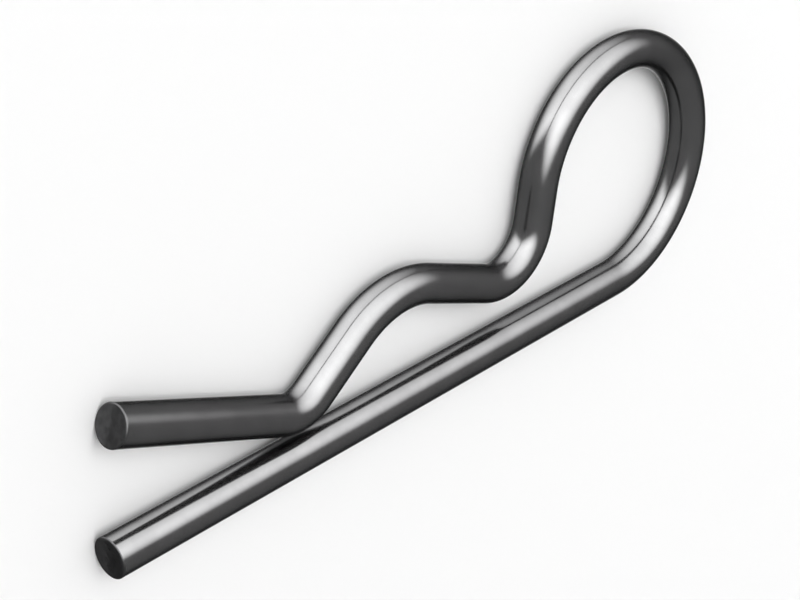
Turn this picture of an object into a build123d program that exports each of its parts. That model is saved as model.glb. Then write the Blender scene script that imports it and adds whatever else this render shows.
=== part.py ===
"""Hitch R clip: one length of round spring wire, bent in one plane.

The straight leg goes through the cross hole of a shaft, and the bent leg snaps over the outside of
the same shaft. From the leg's free end the wire runs: straight leg, open loop, neck, hump over the
shaft, contact bend beside the leg, and a flared end that leads the shaft in.

Frame, in millimetres: the clip lies flat in the XY plane. +X runs along the straight leg towards
the loop, +Y points from the straight leg to the bent leg, and +Z is up. The origin is on the
straight leg's axis under the crown of the hump, where the held shaft's own axis crosses the leg.
"""

from math import atan2, cos, degrees, hypot, pi, radians, sin, sqrt
import os

from build123d import *

# Wire, and the shaft that the clip is made for
wire_diameter = 4.0
shaft_diameter = 18.0

# Open loop
loop_inner_radius = 11.05

# Neck, the reversed bend between the loop and the hump
neck_inner_radius = 3.5
neck_gap = 3.17

# Hump over the shaft: bent a little tighter than the shaft, with room left over its crown
hump_tightness = 0.19
crown_clearance = 0.57

# Contact bend, where the bent leg comes closest to the straight one
contact_inner_radius = 2.15
contact_gap = 0.65

# Straight runs between the bends
loop_to_neck_run = 3.6
neck_to_hump_run = 9.0
hump_to_contact_run = 6.85

# Flared end, and how far the straight leg's free end stands past it
flare_length = 20.6
flare_angle = 22.0
leg_overhang = 1.4

# The cut ends have a slightly broken edge
end_edge_radius = 0.15

# Radius of the wire's centreline at each bend
wire_radius = wire_diameter / 2
loop_radius = loop_inner_radius + wire_radius
neck_radius = neck_inner_radius + wire_radius
hump_radius = shaft_diameter / 2 - hump_tightness + wire_radius
contact_radius = contact_inner_radius + wire_radius

# Height of each bend's centre above the straight leg's axis. The loop is tangent to the leg, the
# hump's crown stands over the shaft, and the neck and contact bend each leave their gap to the leg.
crown_height = shaft_diameter / 2 + crown_clearance + wire_radius
loop_height = loop_radius
neck_height = wire_diameter + neck_gap + neck_radius
hump_height = crown_height - hump_radius
contact_height = wire_diameter + contact_gap + contact_radius


def spacing(radii_sum, run, height_a, height_b):
    """Distance along X between two opposite bends joined by a tangent run of the given length."""
    centre_distance = hypot(radii_sum, run)
    return sqrt(centre_distance**2 - (height_a - height_b) ** 2)


# Place of each bend's centre along X. The hump's is at zero, over the shaft's axis.
loop_neck_radii = loop_radius + neck_radius
neck_hump_radii = neck_radius + hump_radius
hump_contact_radii = hump_radius + contact_radius
neck_x = spacing(neck_hump_radii, neck_to_hump_run, neck_height, hump_height)
loop_x = neck_x + spacing(loop_neck_radii, loop_to_neck_run, loop_height, neck_height)
contact_x = -spacing(hump_contact_radii, hump_to_contact_run, hump_height, contact_height)

# The straight leg starts a little past the end of the flare
flare_start_x = contact_x - contact_radius * sin(radians(flare_angle))
flare_end_x = flare_start_x - flare_length * cos(radians(flare_angle))
leg_end_x = flare_end_x - leg_overhang


def run_heading(start, end, radii_sum, run, first_turn):
    """Heading of the run from one bend to the next, in degrees counted left from +X.

    start and end are the two bends' centres. first_turn is 1 where the first bend turns left and
    -1 where it turns right. The second bend turns the other way.
    """
    centre_line = atan2(end[1] - start[1], end[0] - start[0])
    return degrees(centre_line + first_turn * atan2(radii_sum, run)) % 360


loop_centre = (loop_x, loop_height)
neck_centre = (neck_x, neck_height)
hump_centre = (0, hump_height)
contact_centre = (contact_x, contact_height)
loop_to_neck_heading = run_heading(loop_centre, neck_centre, loop_neck_radii, loop_to_neck_run, 1)
neck_to_hump_heading = run_heading(neck_centre, hump_centre, neck_hump_radii, neck_to_hump_run, -1)
hump_to_contact_heading = run_heading(
    hump_centre, contact_centre, hump_contact_radii, hump_to_contact_run, 1
)
flare_heading = 180 - flare_angle

# Angle turned at each bend, left positive
loop_turn = loop_to_neck_heading
neck_turn = neck_to_hump_heading - loop_to_neck_heading
hump_turn = hump_to_contact_heading - neck_to_hump_heading
contact_turn = flare_heading - hump_to_contact_heading


with BuildPart() as clip:
    # The wire's centreline, from the straight leg's free end to the flared end
    with BuildLine() as centreline:
        leg = Line((leg_end_x, 0), (loop_x, 0))
        loop = JernArc(leg @ 1, leg % 1, loop_radius, loop_turn)
        loop_to_neck = PolarLine(loop @ 1, loop_to_neck_run, direction=loop % 1)
        neck = JernArc(loop_to_neck @ 1, loop_to_neck % 1, neck_radius, neck_turn)
        neck_to_hump = PolarLine(neck @ 1, neck_to_hump_run, direction=neck % 1)
        hump = JernArc(neck_to_hump @ 1, neck_to_hump % 1, hump_radius, hump_turn)
        hump_to_contact = PolarLine(hump @ 1, hump_to_contact_run, direction=hump % 1)
        contact = JernArc(hump_to_contact @ 1, hump_to_contact % 1, contact_radius, contact_turn)
        flare = PolarLine(contact @ 1, flare_length, direction=contact % 1)

    # The round section, swept along the centreline
    with BuildSketch(Plane(origin=leg @ 0, z_dir=leg % 0)):
        Circle(wire_radius)
    sweep(path=centreline.wire())

    # The edge round each cut end
    cut_ends = [clip.faces().sort_by_distance(point)[0] for point in (leg @ 0, flare @ 1)]
    fillet([face.edge() for face in cut_ends], radius=end_edge_radius)

clip.part.label = "clip"

wire_length = centreline.wire().length
swept_volume = pi * wire_radius**2 * wire_length
print("wire length", round(wire_length, 2), "straight leg", round(loop_x - leg_end_x, 2))
print("volume", round(clip.part.volume, 1), "section times length", round(swept_volume, 1))

os.makedirs("parts", exist_ok=True)
export_step(clip.part, "parts/clip.step")
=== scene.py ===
"""Hitch R clip: one round polished spring wire, bent flat, lying on a plain pale floor.

Everything is in metres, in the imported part's own frame: +X along the straight leg towards the loop,
+Y from the straight leg to the bent leg, +Z up, with the origin on the straight leg's axis under the
crown of the hump.
"""

from math import atan2, cos, hypot, pi, radians, sin, sqrt

import bpy
from bpy.props import FloatProperty, FloatVectorProperty, IntProperty, PointerProperty
from bpy.types import Operator, Panel, PropertyGroup
from mathutils import Matrix, Vector, noise


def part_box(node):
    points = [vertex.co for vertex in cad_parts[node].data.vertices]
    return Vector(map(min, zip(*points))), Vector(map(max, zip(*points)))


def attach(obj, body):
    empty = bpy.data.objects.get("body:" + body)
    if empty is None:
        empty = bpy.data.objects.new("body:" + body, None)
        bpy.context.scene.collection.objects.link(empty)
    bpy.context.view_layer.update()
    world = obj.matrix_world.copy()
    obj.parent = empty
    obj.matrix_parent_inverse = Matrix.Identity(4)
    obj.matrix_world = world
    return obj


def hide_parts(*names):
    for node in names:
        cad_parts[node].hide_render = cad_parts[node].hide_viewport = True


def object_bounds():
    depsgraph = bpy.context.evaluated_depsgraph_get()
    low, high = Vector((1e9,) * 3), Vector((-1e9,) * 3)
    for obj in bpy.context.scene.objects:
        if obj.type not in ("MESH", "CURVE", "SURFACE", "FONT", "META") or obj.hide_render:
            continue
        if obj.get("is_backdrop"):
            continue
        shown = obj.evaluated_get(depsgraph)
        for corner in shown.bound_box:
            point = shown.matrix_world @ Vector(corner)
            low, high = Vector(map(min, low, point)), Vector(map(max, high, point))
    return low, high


bl_info = {
    "name": "Hitch R Clip",
    "version": (1, 0, 0),
    "blender": (4, 5, 0),
    "location": "3D View > Sidebar > R Clip",
    "description": "Bends the wire of a hitch R clip, finishes its steel and sets its stage",
    "category": "Object",
}

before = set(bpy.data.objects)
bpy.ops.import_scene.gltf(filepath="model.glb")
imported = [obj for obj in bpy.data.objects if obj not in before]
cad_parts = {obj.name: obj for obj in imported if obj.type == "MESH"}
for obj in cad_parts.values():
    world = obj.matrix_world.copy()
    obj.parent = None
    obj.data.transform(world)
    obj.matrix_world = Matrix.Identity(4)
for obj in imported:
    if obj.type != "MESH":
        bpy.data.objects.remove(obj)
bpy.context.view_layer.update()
clip_low, clip_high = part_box("clip")

MM = 0.001


def length(name, description, default, **more):
    """A property that holds a length in metres."""
    return FloatProperty(
        name=name, description=description, default=default, unit="LENGTH", precision=5, **more
    )


def angle(name, description, degrees_wide):
    """A property that holds an angle, given here in degrees and kept in radians."""
    return FloatProperty(
        name=name, description=description, default=radians(degrees_wide), subtype="ANGLE"
    )


def colour(name, description, default):
    """A property that holds a linear colour."""
    return FloatVectorProperty(
        name=name, description=description, default=default, subtype="COLOR", min=0, max=1
    )


def share(name, description, default):
    """A property that holds a number with no unit."""
    return FloatProperty(name=name, description=description, default=default, precision=3)


def edges(name, default):
    """A property with a soft panel's two soft edges, in shares of its distance from the clip."""
    return FloatVectorProperty(
        name=name, description="Where it starts, is full, fades and ends", default=default, size=4
    )


def gains(name, default):
    """A property that says how much brighter a soft panel grows to its left and upwards."""
    return FloatVectorProperty(
        name=name, description="Gain to the left and upwards", default=default, size=2
    )


# Sizes of the wire


class WireSizes(PropertyGroup):
    """Sizes of the bent wire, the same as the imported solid's"""

    wire_diameter: length("Wire diameter", "Thickness of the round wire", clip_high.z - clip_low.z)
    shaft_diameter: length("Shaft diameter", "Shaft that the clip is made for", 18 * MM)
    loop_inner_radius: length("Loop inner radius", "Inside of the open loop", 11.05 * MM)
    neck_inner_radius: length("Neck inner radius", "Inside of the bend after the loop", 3.5 * MM)
    neck_gap: length("Neck gap", "Space between the neck and the straight leg", 3.17 * MM)
    hump_tightness: length("Hump tightness", "How much tighter than the shaft the hump is", 0.19 * MM)
    crown_clearance: length("Crown clearance", "Room between the shaft and the crown", 0.57 * MM)
    contact_inner_radius: length("Contact inner radius", "Inside of the contact bend", 2.15 * MM)
    contact_gap: length("Contact gap", "Space between the contact bend and the leg", 0.65 * MM)
    loop_to_neck_run: length("Loop to neck", "Straight run between loop and neck", 3.6 * MM)
    neck_to_hump_run: length("Neck to hump", "Straight run between neck and hump", 9.0 * MM)
    hump_to_contact_run: length("Hump to contact", "Straight run down to the contact bend", 6.85 * MM)
    flare_length: length("Flare length", "Straight run of the flared end", 20.6 * MM)
    flare_angle: angle("Flare angle", "How far the flared end opens from the straight leg", 22.0)
    leg_overhang: length("Leg overhang", "How far the straight leg stands past the flare", 1.4 * MM)
    end_edge_radius: length("End edge radius", "Broken edge round each cut end", 0.15 * MM)
    shear_depth: length("Shear depth", "How far the torn half of a cut end sinks in", 0.06 * MM)
    around: IntProperty(
        name="Points around", description="Points round the wire's section", default=96, min=12
    )
    bend_step: length("Bend step", "Longest step along a bend", 0.35 * MM)
    straight_step: length("Straight step", "Longest step along a straight run", 1.5 * MM)


class SteelFinish(PropertyGroup):
    """Colours and surface of the steel"""

    steel_colour: colour("Steel", "Polished side of the wire", (0.0545, 0.0545, 0.055))
    cut_colour: colour("Cut steel", "Sheared ends of the wire", (0.0265, 0.0265, 0.027))
    rim_tint: colour("Rim tint", "Tint of the steel where it is seen edge on", (0.3, 0.3, 0.3))
    polish: share("Polish roughness", "Roughness of the cleanest steel", 0.11)
    film: share("Oil film", "Weight of the thin film of oil on the steel", 0.12)
    film_roughness: share("Film roughness", "Roughness of that film", 0.5)
    cut_roughness: share("Cut roughness", "Roughness of the smooth half of a cut end", 0.36)
    line_spacing: length("Line spacing", "Width of the fine lines left by drawing the wire", 0.16 * MM)
    line_depth: length("Line depth", "Depth of those lines", 0.0006 * MM)
    mottle_size: length("Mottle size", "Size of the patches in the polish", 2.5 * MM)


class StageSettings(PropertyGroup):
    """Floor, lights and camera"""

    floor_colour: colour("Floor", "Plain pale floor", (0.9, 0.9, 0.9))
    floor_roughness: share("Floor roughness", "Roughness of the floor", 0.7)
    footprint_width: length("Footprint width", "Pale strip right under the wire", 3.6 * MM)
    floor_reach: length("Floor reach", "Where the floor starts to turn into the surroundings", 0.15)
    floor_half: length("Floor half width", "From the middle of the floor to its edges", 3.0)
    backdrop_colour: colour("Backdrop", "Pale surroundings", (1.0, 1.0, 1.0))
    fill: share("Fill", "Strength of the surroundings as light on matt things", 0.55)
    key_power: FloatProperty(
        name="Key power", description="Power of the soft key lamp", default=25.0, unit="POWER"
    )
    key_size: length("Key size", "Side of the soft key lamp", 1.6)
    key_distance: length("Key distance", "From the clip to the key lamp", 2.0)
    key_azimuth: angle("Key azimuth", "Direction of the key lamp, counted left from +X", 110.0)
    key_elevation: angle("Key elevation", "Height angle of the key lamp", 60.0)

    panel_distance: length("Panel distance", "From the clip to each soft panel's plane", 1.2)
    high_azimuth: angle("High panel azimuth", "Direction of the high panel, left from +X", 95.0)
    high_elevation: angle("High panel elevation", "Height angle of the high panel", 35.0)
    high_strength: share("High panel strength", "Brightness at the high panel's middle", 13.4)
    high_sides: edges("High panel sides", (-2.85, -0.6, 0.37, 1.67))
    high_heights: edges("High panel heights", (-0.66, -0.58, 0.1, 1.9))
    high_gain: gains("High panel gain", (0.35, 0.36))
    low_azimuth: angle("Low panel azimuth", "Direction of the low panel, left from +X", 100.0)
    low_elevation: angle("Low panel elevation", "Height angle of the low panel", -25.0)
    low_strength: share("Low panel strength", "Brightness at the low panel's middle", 10.6)
    low_sides: edges("Low panel sides", (-1.85, -1.8, 0.5, 1.17))
    low_heights: edges("Low panel heights", (-1.6, 0.17, 0.4, 0.46))
    low_gain: gains("Low panel gain", (0.54, -0.18))

    lens: FloatProperty(name="Lens", description="Focal length in millimetres", default=85.0)
    view_azimuth: angle("View azimuth", "Camera's direction, counted left from -Y", 233.59)
    view_elevation: angle("View elevation", "Camera's height angle", 36.98)
    view_roll: angle("View roll", "How far the camera is rolled about its line of sight", 113.67)
    view_distance: length("View distance", "From the camera to the clip's plane", 179.22 * MM)
    view_target: FloatVectorProperty(
        name="View target",
        description="Point in the clip's plane at the middle of the picture",
        default=(0.0, 10.57 * MM, 0.0),
        subtype="TRANSLATION",
        precision=5,
    )


# Course of the wire


def bend_spacing(radii_sum, run, height_a, height_b):
    """Distance along X between two opposite bends joined by a tangent run of the given length."""
    return sqrt(hypot(radii_sum, run) ** 2 - (height_a - height_b) ** 2)


def run_heading(start, end, radii_sum, run, first_turn):
    """Heading of the run between two bends' centres, counted left from +X.

    first_turn is 1 where the first bend turns left and -1 where it turns right.
    """
    centre_line = atan2(end[1] - start[1], end[0] - start[0])
    return (centre_line + first_turn * atan2(radii_sum, run)) % (2 * pi)


def wire_course(size):
    """Start of the wire's centreline and its runs, each a (length, turn) pair, turn 0 if straight."""
    wire_radius = size.wire_diameter / 2
    loop_radius = size.loop_inner_radius + wire_radius
    neck_radius = size.neck_inner_radius + wire_radius
    hump_radius = size.shaft_diameter / 2 - size.hump_tightness + wire_radius
    contact_radius = size.contact_inner_radius + wire_radius
    crown_height = size.shaft_diameter / 2 + size.crown_clearance + wire_radius

    loop_height = loop_radius
    neck_height = size.wire_diameter + size.neck_gap + neck_radius
    hump_height = crown_height - hump_radius
    contact_height = size.wire_diameter + size.contact_gap + contact_radius

    loop_neck = loop_radius + neck_radius
    neck_hump = neck_radius + hump_radius
    hump_contact = hump_radius + contact_radius
    neck_x = bend_spacing(neck_hump, size.neck_to_hump_run, neck_height, hump_height)
    loop_x = neck_x + bend_spacing(loop_neck, size.loop_to_neck_run, loop_height, neck_height)
    contact_x = -bend_spacing(hump_contact, size.hump_to_contact_run, hump_height, contact_height)
    flare_start_x = contact_x - contact_radius * sin(size.flare_angle)
    leg_end_x = flare_start_x - size.flare_length * cos(size.flare_angle) - size.leg_overhang

    loop_centre = (loop_x, loop_height)
    neck_centre = (neck_x, neck_height)
    hump_centre = (0, hump_height)
    contact_centre = (contact_x, contact_height)
    after_loop = run_heading(loop_centre, neck_centre, loop_neck, size.loop_to_neck_run, 1)
    after_neck = run_heading(neck_centre, hump_centre, neck_hump, size.neck_to_hump_run, -1)
    after_hump = run_heading(hump_centre, contact_centre, hump_contact, size.hump_to_contact_run, 1)
    after_contact = pi - size.flare_angle

    def bend(radius, turn):
        return (radius * abs(turn), turn)

    runs = [
        (loop_x - leg_end_x, 0),
        bend(loop_radius, after_loop),
        (size.loop_to_neck_run, 0),
        bend(neck_radius, after_neck - after_loop),
        (size.neck_to_hump_run, 0),
        bend(hump_radius, after_hump - after_neck),
        (size.hump_to_contact_run, 0),
        bend(contact_radius, after_contact - after_hump),
        (size.flare_length, 0),
    ]
    return Vector((leg_end_x, 0, 0)), runs


def chord(distance, curvature):
    """Where the wire gets to in that distance, from the origin and at first along +X."""
    if not curvature:
        return Vector((distance, 0, 0))
    turned = curvature * distance
    return Vector((sin(turned), 1 - cos(turned), 0)) / curvature


def walk(size):
    """Stations along the centreline: (point, heading, distance along the wire)."""
    point, runs = wire_course(size)
    heading = along = 0.0
    edge = size.end_edge_radius
    guard = edge / 2
    stations = []
    for number, (run_length, turn) in enumerate(runs):
        first, last = number == 0, number == len(runs) - 1
        curvature = turn / run_length
        longest = size.bend_step if turn else size.straight_step
        # The first and last rings stand back from the cut ends by the width of the broken edge
        start = edge if first else 0.0
        end = run_length - edge if last else run_length
        steps = max(2, round((end - start) / longest))
        distances = [start + (end - start) * step / steps for step in range(steps + 1)]
        # A ring close to each broken edge keeps the edge's shading off the straight side
        if first:
            distances.insert(1, start + guard)
        else:
            distances.pop(0)
        if last:
            distances.insert(-1, end - guard)
        onward = Matrix.Rotation(heading, 3, "Z")
        for distance in distances:
            place = point + onward @ chord(distance, curvature)
            stations.append((place, heading + curvature * distance, along + distance))
        point = point + onward @ chord(run_length, curvature)
        heading += turn
        along += run_length
    return stations


def bend_strain(size, along):
    """How strongly the wire is bent at that distance along it, eased in and out at each bend."""
    wire_radius = size.wire_diameter / 2
    begin = strain = 0.0
    for run_length, turn in wire_course(size)[1]:
        if turn:
            inside = min(along - begin, begin + run_length - along)
            level = min(1.0, max(0.0, inside / size.wire_diameter + 0.5))
            eased = level * level * (3 - 2 * level)
            strain += eased * wire_radius * turn / run_length
        begin += run_length
    return strain


# Mesh of the wire


class WireMesh:
    """Collects the rings of the wire's skin, with the coordinates that its finish follows."""

    def __init__(self, size):
        self.size = size
        self.around = size.around
        self.points = []
        self.faces = []
        self.on_cut = []
        self.drawn = []
        self.strain = []

    def ring(self, place, heading, along, radius, sink=None):
        """Adds one ring of points across the wire and gives the number of its first point."""
        first = len(self.points)
        side = Vector((-sin(heading), cos(heading), 0))
        onward = Vector((cos(heading), sin(heading), 0))
        bent = bend_strain(self.size, along)
        for number in range(self.around):
            turn = 2 * pi * number / self.around
            across, up = radius * cos(turn), radius * sin(turn)
            inset = sink(across, up) if sink else 0.0
            self.points.append(place + side * across + Vector((0, 0, up)) + onward * inset)
            self.drawn.append((along, across, up))
            self.strain.append(bent * cos(turn))
        return first

    def join(self, ring_a, ring_b, cut=False):
        """Quads between two rings, with ring_b further along the wire."""
        for number in range(self.around):
            after = (number + 1) % self.around
            self.faces.append((ring_a + number, ring_a + after, ring_b + after, ring_b + number))
            self.on_cut.append(cut)

    def close(self, ring, place, along, facing):
        """Triangles from a ring to its middle, facing along the wire (1) or back (-1)."""
        middle = len(self.points)
        self.points.append(place)
        self.drawn.append((along, 0, 0))
        self.strain.append(0.0)
        for number in range(self.around):
            after = (number + 1) % self.around
            if facing > 0:
                self.faces.append((ring + number, ring + after, middle))
            else:
                self.faces.append((ring + after, ring + number, middle))
            self.on_cut.append(True)

    def cut_end(self, last_ring, place, heading, along, facing):
        """The broken edge and sheared face beyond the last ring; facing is -1 at the wire's start."""
        size = self.size
        edge, wire_radius = size.end_edge_radius, size.wire_diameter / 2
        onward = Vector((cos(heading), sin(heading), 0)) * facing
        edge_steps, face_steps = 5, 18

        def sink(across, up):
            """The shear leaves the lower half torn, a little deeper than the smooth upper half."""
            grain_size = half_width = 0.5 * wire_radius
            grain = 0.5 + 0.5 * noise.noise(Vector((across, up, facing)) / grain_size)
            ragged = 0.3 * wire_radius * (grain - 0.5)
            torn = min(1.0, max(0.0, 0.5 - (up + ragged) / half_width))
            rim = 1 - min(1.0, hypot(across, up) / (wire_radius - edge)) ** 6
            smooth_depth, torn_depth = 0.15 * grain, 0.4 + 0.45 * grain
            return -facing * rim * size.shear_depth * (smooth_depth + torn * torn_depth)

        previous = last_ring
        rings = []
        for step in range(1, edge_steps + 1):
            turned = pi / 2 * step / edge_steps
            rings.append((edge * sin(turned), wire_radius - edge + edge * cos(turned), None))
        for step in range(1, face_steps):
            rings.append((edge, (wire_radius - edge) * (1 - step / face_steps), sink))
        for out, radius, dip in rings:
            new = self.ring(place + onward * out, heading, along + facing * out, radius, dip)
            self.join(*((previous, new) if facing > 0 else (new, previous)), cut=True)
            previous = new
        middle = place + onward * (edge + facing * sink(0, 0))
        self.close(previous, middle, along + facing * edge, facing)


def wire_object(size):
    """The whole bent wire as one closed mesh object."""
    wire_radius = size.wire_diameter / 2
    skin = WireMesh(size)
    stations = walk(size)
    rings = [skin.ring(place, heading, along, wire_radius) for place, heading, along in stations]
    for ring_a, ring_b in zip(rings, rings[1:]):
        skin.join(ring_a, ring_b)
    for which, facing in ((0, -1), (-1, 1)):
        place, heading, along = stations[which]
        skin.cut_end(rings[which], place, heading, along, facing)

    mesh = bpy.data.meshes.new("clip_wire")
    mesh.from_pydata([tuple(point) for point in skin.points], [], skin.faces)
    mesh.polygons.foreach_set("material_index", [int(cut) for cut in skin.on_cut])
    mesh.polygons.foreach_set("use_smooth", [True] * len(skin.faces))
    drawn = mesh.attributes.new("drawn", "FLOAT_VECTOR", "POINT")
    drawn.data.foreach_set("vector", [number for row in skin.drawn for number in row])
    strain = mesh.attributes.new("strain", "FLOAT", "POINT")
    strain.data.foreach_set("value", skin.strain)
    mesh.update()
    wire = bpy.data.objects.new("clip_wire", mesh)
    bpy.context.scene.collection.objects.link(wire)
    return wire


# Node trees


def add_node(tree, kind, place, inputs=None, **settings):
    """One node at that place in the tree, with the named settings and input values."""
    made = tree.nodes.new(kind)
    made.location = place
    for name, value in settings.items():
        setattr(made, name, value)
    for name, value in (inputs or {}).items():
        if isinstance(value, bpy.types.NodeSocket):
            tree.links.new(value, made.inputs[name])
        else:
            made.inputs[name].default_value = value
    return made


def maths(tree, place, operation, *values):
    """The result of one Math node."""
    return add_node(
        tree, "ShaderNodeMath", place, dict(enumerate(values)), operation=operation
    ).outputs["Value"]


def ramp(tree, place, value, start, end):
    """0 before the start and 1 past the end, with a smooth rise between them."""
    return add_node(
        tree,
        "ShaderNodeMapRange",
        place,
        {"Value": value, "From Min": start, "From Max": end},
        interpolation_type="SMOOTHSTEP",
    ).outputs["Result"]


def stretched(tree, coordinates, along, across):
    """The coordinates in units of a length along the wire and a width across it."""
    stretch = add_node(
        tree, "ShaderNodeCombineXYZ", (-600, -100), {"X": along, "Y": across, "Z": across}
    )
    return add_node(
        tree,
        "ShaderNodeVectorMath",
        (-400, 0),
        {0: coordinates, 1: stretch.outputs["Vector"]},
        operation="DIVIDE",
    ).outputs["Vector"]


def new_group(name, sockets_in, sockets_out):
    """A shader node group with named sockets, and its input and output nodes."""
    tree = bpy.data.node_groups.new(name, "ShaderNodeTree")
    for socket_name, kind, default in sockets_in:
        socket = tree.interface.new_socket(name=socket_name, in_out="INPUT", socket_type=kind)
        if default is not None:
            socket.default_value = default
    for socket_name, kind in sockets_out:
        tree.interface.new_socket(name=socket_name, in_out="OUTPUT", socket_type=kind)
    group_in = add_node(tree, "NodeGroupInput", (-800, 0))
    group_out = add_node(tree, "NodeGroupOutput", (800, 0))
    return tree, group_in, group_out


def drawn_lines_group():
    """Fine lines along the wire, as the drawing die leaves them."""
    tree, group_in, group_out = new_group(
        "Drawn lines",
        [
            ("Coordinates", "NodeSocketVector", None),
            ("Spacing", "NodeSocketFloat", 0.16 * MM),
            ("Run", "NodeSocketFloat", 30 * MM),
        ],
        [("Height", "NodeSocketFloat")],
    )
    given = group_in.outputs
    scaled = stretched(tree, given["Coordinates"], given["Run"], given["Spacing"])
    lines = add_node(
        tree,
        "ShaderNodeTexNoise",
        (-200, 0),
        {"Vector": scaled, "Scale": 1.0, "Detail": 2.0, "Roughness": 0.6},
    )
    tree.links.new(lines.outputs["Fac"], group_out.inputs["Height"])
    return tree


def mottle_group():
    """Soft patches, from 0 to 1, for a surface that isn't quite even."""
    tree, group_in, group_out = new_group(
        "Mottle",
        [("Coordinates", "NodeSocketVector", None), ("Size", "NodeSocketFloat", 2.5 * MM)],
        [("Patches", "NodeSocketFloat")],
    )
    frequency = maths(tree, (-600, -100), "DIVIDE", 1.0, group_in.outputs["Size"])
    patches = add_node(
        tree,
        "ShaderNodeTexNoise",
        (-400, 0),
        {
            "Vector": group_in.outputs["Coordinates"],
            "Scale": frequency,
            "Detail": 4.0,
            "Roughness": 0.55,
        },
    )
    spread = ramp(tree, (-200, 0), patches.outputs["Fac"], 0.3, 0.7)
    tree.links.new(spread, group_out.inputs["Patches"])
    return tree


def scuffs_group():
    """Sparse straight scuffs: the rare peaks of a noise that is stretched along one direction."""
    tree, group_in, group_out = new_group(
        "Scuffs",
        [
            ("Coordinates", "NodeSocketVector", None),
            ("Slant", "NodeSocketFloat", 0.1),
            ("Length", "NodeSocketFloat", 2 * MM),
            ("Width", "NodeSocketFloat", 0.05 * MM),
        ],
        [("Scuffs", "NodeSocketFloat")],
    )
    given = group_in.outputs
    turned = add_node(
        tree,
        "ShaderNodeVectorRotate",
        (-600, 100),
        {"Vector": given["Coordinates"], "Angle": given["Slant"]},
        rotation_type="Z_AXIS",
    ).outputs["Vector"]
    scaled = stretched(tree, turned, given["Length"], given["Width"])
    field = add_node(
        tree, "ShaderNodeTexNoise", (-200, 0), {"Vector": scaled, "Scale": 1.0, "Detail": 0.0}
    )
    peaks = ramp(tree, (0, 0), field.outputs["Fac"], 0.7, 0.8)
    tree.links.new(peaks, group_out.inputs["Scuffs"])
    return tree


def group_node(tree, group, place, inputs):
    """A placed node group, with its own input values."""
    return add_node(tree, "ShaderNodeGroup", place, inputs, node_tree=group)


def new_material(name):
    """A material with an empty node tree, its Principled shader and its output."""
    material = bpy.data.materials.new(name)
    material.use_nodes = True
    tree = material.node_tree
    tree.nodes.clear()
    shader = add_node(tree, "ShaderNodeBsdfPrincipled", (600, 0))
    output = add_node(tree, "ShaderNodeOutputMaterial", (900, 0))
    tree.links.new(shader.outputs["BSDF"], output.inputs["Surface"])
    return material, tree, shader


def shades(tree, place, base, spread, value):
    """A colour that goes a little below and above the base one as the value goes from 0 to 1."""
    mix = add_node(tree, "ShaderNodeMix", place, {"Factor": value}, data_type="RGBA")
    mix.inputs["A"].default_value = (*[channel * (1 - spread) for channel in base], 1)
    mix.inputs["B"].default_value = (*[channel * (1 + spread) for channel in base], 1)
    return mix.outputs["Result"]


def weighted_sum(tree, place, terms):
    """The sum of (socket or number, weight) pairs."""
    total = 0.0
    for number, (value, weight) in enumerate(terms):
        spot = (place[0] + 160 * number, place[1])
        total = maths(tree, spot, "MULTIPLY_ADD", value, weight, total)
    return total


def connect_steel(tree, shader, finish, base_colour, roughness, height, depth):
    """Gives the shader a steel's colour, roughness and relief, and makes it all metal."""
    bump = add_node(
        tree,
        "ShaderNodeBump",
        (300, -500),
        {"Strength": 1.0, "Distance": depth, "Height": height},
    )
    tree.links.new(base_colour, shader.inputs["Base Color"])
    tree.links.new(roughness, shader.inputs["Roughness"])
    tree.links.new(bump.outputs["Normal"], shader.inputs["Normal"])
    shader.inputs["Metallic"].default_value = 1.0
    shader.inputs["Specular Tint"].default_value = (*finish.rim_tint, 1)


def polished_steel(finish, groups):
    """The side of the wire: polished steel with drawn lines, soft patches and sparse scuffs."""
    material, tree, shader = new_material("polished_steel")
    drawn = add_node(tree, "ShaderNodeAttribute", (-1400, 0), attribute_name="drawn").outputs["Vector"]
    strain = add_node(
        tree, "ShaderNodeAttribute", (-1400, -300), attribute_name="strain"
    ).outputs["Fac"]
    fine = group_node(
        tree,
        groups["lines"],
        (-1100, 200),
        {"Coordinates": drawn, "Spacing": finish.line_spacing, "Run": 40 * MM},
    ).outputs["Height"]
    broad = group_node(
        tree,
        groups["lines"],
        (-1100, 0),
        {"Coordinates": drawn, "Spacing": 4 * finish.line_spacing, "Run": 90 * MM},
    ).outputs["Height"]
    patches = group_node(
        tree, groups["mottle"], (-1100, -200), {"Coordinates": drawn, "Size": finish.mottle_size}
    ).outputs["Patches"]
    scuffs = group_node(
        tree,
        groups["scuffs"],
        (-1100, -400),
        {"Coordinates": drawn, "Slant": 0.08, "Length": 3 * MM, "Width": 0.07 * MM},
    ).outputs["Scuffs"]
    # The bending pins rub the inside of each bend, where the strain is positive
    rubbed = ramp(tree, (-1100, -600), strain, 0.05, 0.35)
    roughness = weighted_sum(
        tree,
        (-300, -200),
        [(finish.polish, 1.0), (patches, 0.03), (fine, 0.03), (scuffs, 0.04), (rubbed, 0.05)],
    )
    height = weighted_sum(tree, (-300, -500), [(fine, 0.6), (broad, 1.0), (scuffs, -0.25)])
    steel = shades(tree, (200, 200), finish.steel_colour, 0.06, patches)
    connect_steel(tree, shader, finish, steel, roughness, height, finish.line_depth)
    shader.inputs["Coat Weight"].default_value = finish.film
    shader.inputs["Coat Roughness"].default_value = finish.film_roughness
    return material


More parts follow.
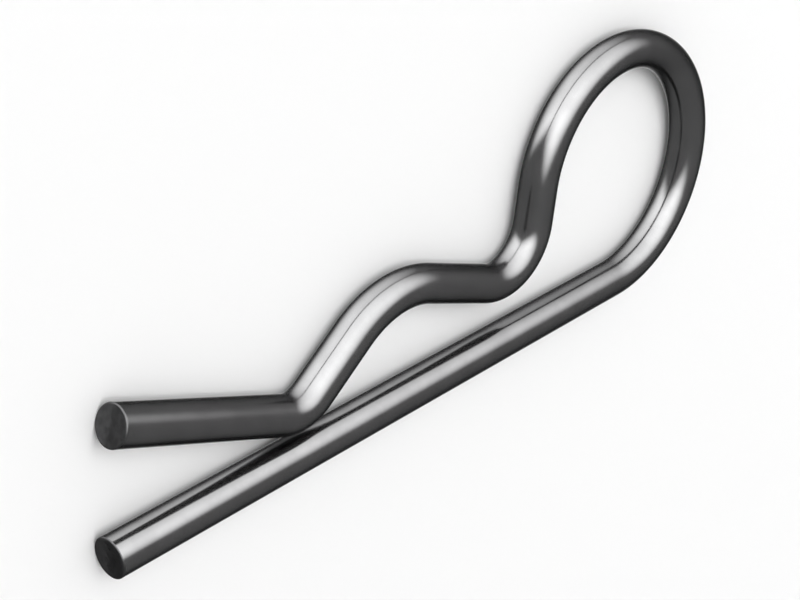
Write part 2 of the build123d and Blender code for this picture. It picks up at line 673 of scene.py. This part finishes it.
def sheared_steel(finish, groups):
    """A cut end: smooth where the shear slid past, torn and dull where the wire broke away."""
    material, tree, shader = new_material("sheared_steel")
    drawn = add_node(tree, "ShaderNodeAttribute", (-1400, 0), attribute_name="drawn").outputs["Vector"]
    # The shear moves up through the section, so its lines run along the section's height
    upright = add_node(
        tree,
        "ShaderNodeVectorRotate",
        (-1200, 0),
        {"Vector": drawn, "Angle": pi / 2},
        rotation_type="Y_AXIS",
    ).outputs["Vector"]
    lines = group_node(
        tree,
        groups["lines"],
        (-900, 200),
        {"Coordinates": upright, "Spacing": 0.12 * MM, "Run": 1.5 * MM},
    ).outputs["Height"]
    patches = group_node(
        tree, groups["mottle"], (-900, 0), {"Coordinates": drawn, "Size": 0.5 * MM}
    ).outputs["Patches"]
    scuffs = group_node(
        tree,
        groups["scuffs"],
        (-900, -200),
        {"Coordinates": upright, "Slant": 0.3, "Length": 0.8 * MM, "Width": 0.06 * MM},
    ).outputs["Scuffs"]
    height_up = add_node(tree, "ShaderNodeSeparateXYZ", (-900, -400), {"Vector": drawn}).outputs["Z"]
    torn = ramp(tree, (-700, -400), height_up, 0.3 * MM, -0.5 * MM)
    roughness = weighted_sum(
        tree,
        (-300, -200),
        [(finish.cut_roughness, 1.0), (torn, 0.15), (patches, 0.08), (scuffs, 0.05)],
    )
    height = weighted_sum(tree, (-300, -500), [(lines, 1.0), (patches, 0.8), (scuffs, -1.0)])
    steel = shades(tree, (200, 200), finish.cut_colour, 0.12, patches)
    connect_steel(tree, shader, finish, steel, roughness, height, 6 * finish.line_depth)
    return material


# Stage


def flat_sheet(name, points, faces, material):
    """A flat sheet that belongs to the stage."""
    mesh = bpy.data.meshes.new(name)
    mesh.from_pydata([tuple(point) for point in points], [], faces)
    mesh.materials.append(material)
    sheet = bpy.data.objects.new(name, mesh)
    bpy.context.scene.collection.objects.link(sheet)
    sheet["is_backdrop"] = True
    return sheet


def towards(azimuth, elevation):
    """Unit vector in that direction, with the azimuth counted left from +X."""
    return Vector((cos(azimuth) * cos(elevation), sin(azimuth) * cos(elevation), sin(elevation)))


def seen_directly(tree, place):
    """1 for what the camera, a gloss or a clear thing sees, and 0 for light on matt things."""
    x, y = place
    path = add_node(tree, "ShaderNodeLightPath", (x, y))
    seen = path.outputs["Is Camera Ray"]
    for number, kind in enumerate(("Is Glossy Ray", "Is Transmission Ray")):
        seen = maths(tree, (x + 200 + 200 * number, y), "MAXIMUM", seen, path.outputs[kind])
    return seen


def pale_strength(tree, place, fill):
    """Strength of the surroundings: 1, white, where seen directly, and the fill on matt things."""
    return add_node(
        tree,
        "ShaderNodeMapRange",
        place,
        {"Value": seen_directly(tree, (place[0] - 800, place[1])), "To Min": fill, "To Max": 1.0},
    ).outputs["Result"]


def floor_material(stage):
    """Plain pale matt floor that turns into the pale surroundings away from the clip."""
    material, tree, shader = new_material("pale_floor")
    shader.inputs["Base Color"].default_value = (*stage.floor_colour, 1)
    shader.inputs["Roughness"].default_value = stage.floor_roughness
    place = add_node(tree, "ShaderNodeTexCoord", (-400, -300)).outputs["Object"]
    reach = add_node(
        tree, "ShaderNodeVectorMath", (-200, -300), {0: place}, operation="LENGTH"
    ).outputs["Value"]
    away = ramp(tree, (0, -300), reach, stage.floor_reach, 3 * stage.floor_reach)
    strength = pale_strength(tree, (0, -600), stage.fill)
    surroundings = add_node(
        tree,
        "ShaderNodeEmission",
        (200, -600),
        {"Color": (*stage.backdrop_colour, 1), "Strength": strength},
    ).outputs["Emission"]
    both = add_node(tree, "ShaderNodeMixShader", (900, -200), {"Fac": away})
    tree.links.new(shader.outputs["BSDF"], both.inputs[1])
    tree.links.new(surroundings, both.inputs[2])
    output = next(each for each in tree.nodes if each.type == "OUTPUT_MATERIAL")
    tree.links.new(both.outputs["Shader"], output.inputs["Surface"])
    return material


def glow_material(name):
    """A material that only glows, with its node tree and its Emission node."""
    material = bpy.data.materials.new(name)
    # Found by the steel's reflections alone, because the floor stands before the low panel
    material.cycles.emission_sampling = "NONE"
    material.use_nodes = True
    tree = material.node_tree
    tree.nodes.clear()
    glow = add_node(tree, "ShaderNodeEmission", (0, 0))
    output = add_node(tree, "ShaderNodeOutputMaterial", (200, 0))
    tree.links.new(glow.outputs["Emission"], output.inputs["Surface"])
    return material, tree, glow


def show_to_gloss_only(sheet):
    """Hides a sheet from the camera and from matt things, and keeps it from casting a shadow."""
    sheet.visible_camera = False
    sheet.visible_diffuse = False
    sheet.visible_shadow = False


def add_floor(stage, size):
    """A plain pale floor that the clip lies on.

    The steel's gloss sees the pale surroundings and the low panel instead of the floor. A footprint
    right under the wire is as pale as the surroundings, and keeps the panel off the wire's underside.
    """
    material = floor_material(stage)
    half, low = stage.floor_half, clip_low.z
    corners = [(-half, -half, low), (half, -half, low), (half, half, low), (-half, half, low)]
    floor = flat_sheet("floor", corners, [(0, 1, 2, 3)], material)
    floor.visible_glossy = False

    edge_points = []
    for point, heading, _ in walk(size):
        side = Vector((-sin(heading), cos(heading), 0)) * stage.footprint_width / 2
        edge_points += [point - side + Vector((0, 0, low)), point + side + Vector((0, 0, low))]
    strips = [(n, n + 2, n + 3, n + 1) for n in range(0, len(edge_points) - 2, 2)]
    material, _, glow = glow_material("pale_footprint")
    glow.inputs["Color"].default_value = (*stage.backdrop_colour, 1)
    show_to_gloss_only(flat_sheet("footprint", edge_points, strips, material))


def soft_edges(tree, place, share_of_distance, spans):
    """1 between the two soft edges and 0 outside them."""
    start, full, fading, end = spans
    x, y = place
    rise = ramp(tree, (x, y), share_of_distance, start, full)
    fall = ramp(tree, (x, y - 300), share_of_distance, end, fading)
    return maths(tree, (x + 200, y), "MULTIPLY", rise, fall)


def panel_glow(name, distance, strength, sides, heights, gain):
    """Light of a soft panel: it fades at its edges and grows along its gains."""
    material, tree, glow = glow_material(name)
    place = add_node(tree, "ShaderNodeTexCoord", (-1400, 0)).outputs["Object"]
    shares = add_node(
        tree,
        "ShaderNodeVectorMath",
        (-1200, 0),
        {0: place, "Scale": 1 / distance},
        operation="SCALE",
    ).outputs["Vector"]
    split = add_node(tree, "ShaderNodeSeparateXYZ", (-1000, 0), {"Vector": shares})
    across, up = split.outputs["X"], split.outputs["Y"]
    inside = maths(
        tree,
        (-400, 0),
        "MULTIPLY",
        soft_edges(tree, (-800, 300), across, sides),
        soft_edges(tree, (-800, -300), up, heights),
    )
    level = weighted_sum(
        tree,
        (-800, -900),
        [(strength, 1.0), (across, strength * gain[0]), (up, strength * gain[1])],
    )
    # Outside its soft edges the panel is as bright as the surroundings that it hides
    brightness = maths(tree, (-200, 0), "MULTIPLY_ADD", inside, level, 1.0)
    tree.links.new(brightness, glow.inputs["Strength"])
    return material


def add_panel(stage, which):
    """A large soft panel on the bent leg's side, above or below the clip's own plane.

    Only the steel's gloss sees it, and the key lamp stands for it as light on matt things. The gap
    between the high panel and the low one is the dark seam along the wire's highlights.
    """
    azimuth, elevation, strength, sides, heights, gain = (
        getattr(stage, f"{which}_{key}")
        for key in ("azimuth", "elevation", "strength", "sides", "heights", "gain")
    )
    distance = stage.panel_distance
    material = panel_glow(f"{which}_panel_glow", distance, strength, sides, heights, gain)
    left, right = distance * sides[0], distance * sides[3]
    bottom, top = distance * heights[0], distance * heights[3]
    corners = [(left, bottom, 0), (right, bottom, 0), (right, top, 0), (left, top, 0)]
    panel = flat_sheet(f"{which}_panel", corners, [(0, 1, 2, 3)], material)
    outward = towards(azimuth, elevation)
    across = Vector((-sin(azimuth), cos(azimuth), 0))
    turned = Matrix((across, outward.cross(across), outward)).transposed()
    panel.location = (clip_low + clip_high) / 2 + outward * distance
    panel.rotation_euler = turned.to_euler()
    show_to_gloss_only(panel)


def add_key(stage):
    """The soft key lamp, which lights the floor and lays the clip's shadow on it."""
    light = bpy.data.lights.new("soft_key", "AREA")
    light.size = stage.key_size
    light.energy = stage.key_power
    lamp = bpy.data.objects.new("soft_key", light)
    bpy.context.scene.collection.objects.link(lamp)
    outward = towards(stage.key_azimuth, stage.key_elevation)
    lamp.location = (clip_low + clip_high) / 2 + outward * stage.key_distance
    lamp.rotation_euler = outward.to_track_quat("Z", "Y").to_euler()
    lamp.visible_camera = False
    lamp.visible_glossy = False


def set_backdrop(stage):
    """Pale surroundings for the camera and the steel's gloss, and a weaker fill for the rest."""
    world = bpy.data.worlds.new("pale_backdrop")
    bpy.context.scene.world = world
    world.use_nodes = True
    tree = world.node_tree
    tree.nodes.clear()
    strength = pale_strength(tree, (-200, 0), stage.fill)
    background = add_node(
        tree,
        "ShaderNodeBackground",
        (0, 0),
        {"Color": (*stage.backdrop_colour, 1), "Strength": strength},
    )
    output = add_node(tree, "ShaderNodeOutputWorld", (200, 0))
    tree.links.new(background.outputs["Background"], output.inputs["Surface"])


def add_camera(stage):
    """The camera, at the place and roll that its angles give."""
    data = bpy.data.cameras.new("camera")
    data.sensor_width = 36.0
    data.lens = stage.lens
    nearest = 10 * MM
    data.clip_start = nearest
    camera = bpy.data.objects.new("camera", data)
    bpy.context.scene.collection.objects.link(camera)
    azimuth, elevation = stage.view_azimuth, stage.view_elevation
    back = Vector(
        (sin(azimuth) * cos(elevation), -cos(azimuth) * cos(elevation), sin(elevation))
    )
    camera.location = Vector(stage.view_target) + back * stage.view_distance
    camera.rotation_mode = "QUATERNION"
    upright = (-back).to_track_quat("-Z", "Y")
    camera.rotation_quaternion = upright @ Matrix.Rotation(stage.view_roll, 3, "Z").to_quaternion()
    bpy.context.scene.camera = camera


# Operators and panel


class RCLIP_OT_bend_wire(Operator):
    """Bends the wire of the clip and gives it its steel"""

    bl_idname = "rclip.bend_wire"
    bl_label = "Bend wire"

    def execute(self, context):
        size, finish = context.scene.rclip_wire, context.scene.rclip_finish
        wire = wire_object(size)
        groups = {"lines": drawn_lines_group(), "mottle": mottle_group(), "scuffs": scuffs_group()}
        wire.data.materials.append(polished_steel(finish, groups))
        wire.data.materials.append(sheared_steel(finish, groups))
        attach(wire, "root")
        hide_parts("clip")
        low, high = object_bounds()
        off = max(abs(a - b) for a, b in zip((*low, *high), (*clip_low, *clip_high)))
        if off > 0.05 * MM:
            raise ValueError(f"the bent wire is {off / MM:.3f} mm off the packed clip's box")
        return {"FINISHED"}


class RCLIP_OT_set_stage(Operator):
    """Sets the floor, the lights, the pale surroundings and the camera"""

    bl_idname = "rclip.set_stage"
    bl_label = "Set stage"

    def execute(self, context):
        stage = context.scene.rclip_stage
        add_floor(stage, context.scene.rclip_wire)
        add_panel(stage, "high")
        add_panel(stage, "low")
        add_key(stage)
        set_backdrop(stage)
        add_camera(stage)
        context.scene.view_settings.view_transform = "Standard"
        context.scene.cycles.caustics_reflective = False
        return {"FINISHED"}


class RCLIP_PT_sidebar(Panel):
    """Lists the clip's steps in the 3D view's sidebar"""

    bl_idname = "RCLIP_PT_sidebar"
    bl_label = "Hitch R Clip"
    bl_space_type = "VIEW_3D"
    bl_region_type = "UI"
    bl_category = "R Clip"

    def draw(self, context):
        for group, operator in (
            (context.scene.rclip_wire, RCLIP_OT_bend_wire),
            (context.scene.rclip_finish, None),
            (context.scene.rclip_stage, RCLIP_OT_set_stage),
        ):
            box = self.layout.box()
            for name in group.__annotations__:
                box.prop(group, name)
            if operator:
                box.operator(operator.bl_idname)


CLASSES = (
    WireSizes,
    SteelFinish,
    StageSettings,
    RCLIP_OT_bend_wire,
    RCLIP_OT_set_stage,
    RCLIP_PT_sidebar,
)
SETTINGS = {"rclip_wire": WireSizes, "rclip_finish": SteelFinish, "rclip_stage": StageSettings}


def register():
    for each in CLASSES:
        bpy.utils.register_class(each)
    for name, group in SETTINGS.items():
        setattr(bpy.types.Scene, name, PointerProperty(type=group))


def unregister():
    for name in SETTINGS:
        delattr(bpy.types.Scene, name)
    for each in reversed(CLASSES):
        bpy.utils.unregister_class(each)


def main():
    """Builds the clip and its stage."""
    register()
    bpy.ops.rclip.bend_wire()
    bpy.ops.rclip.set_stage()


if __name__ == "__main__":
    main()
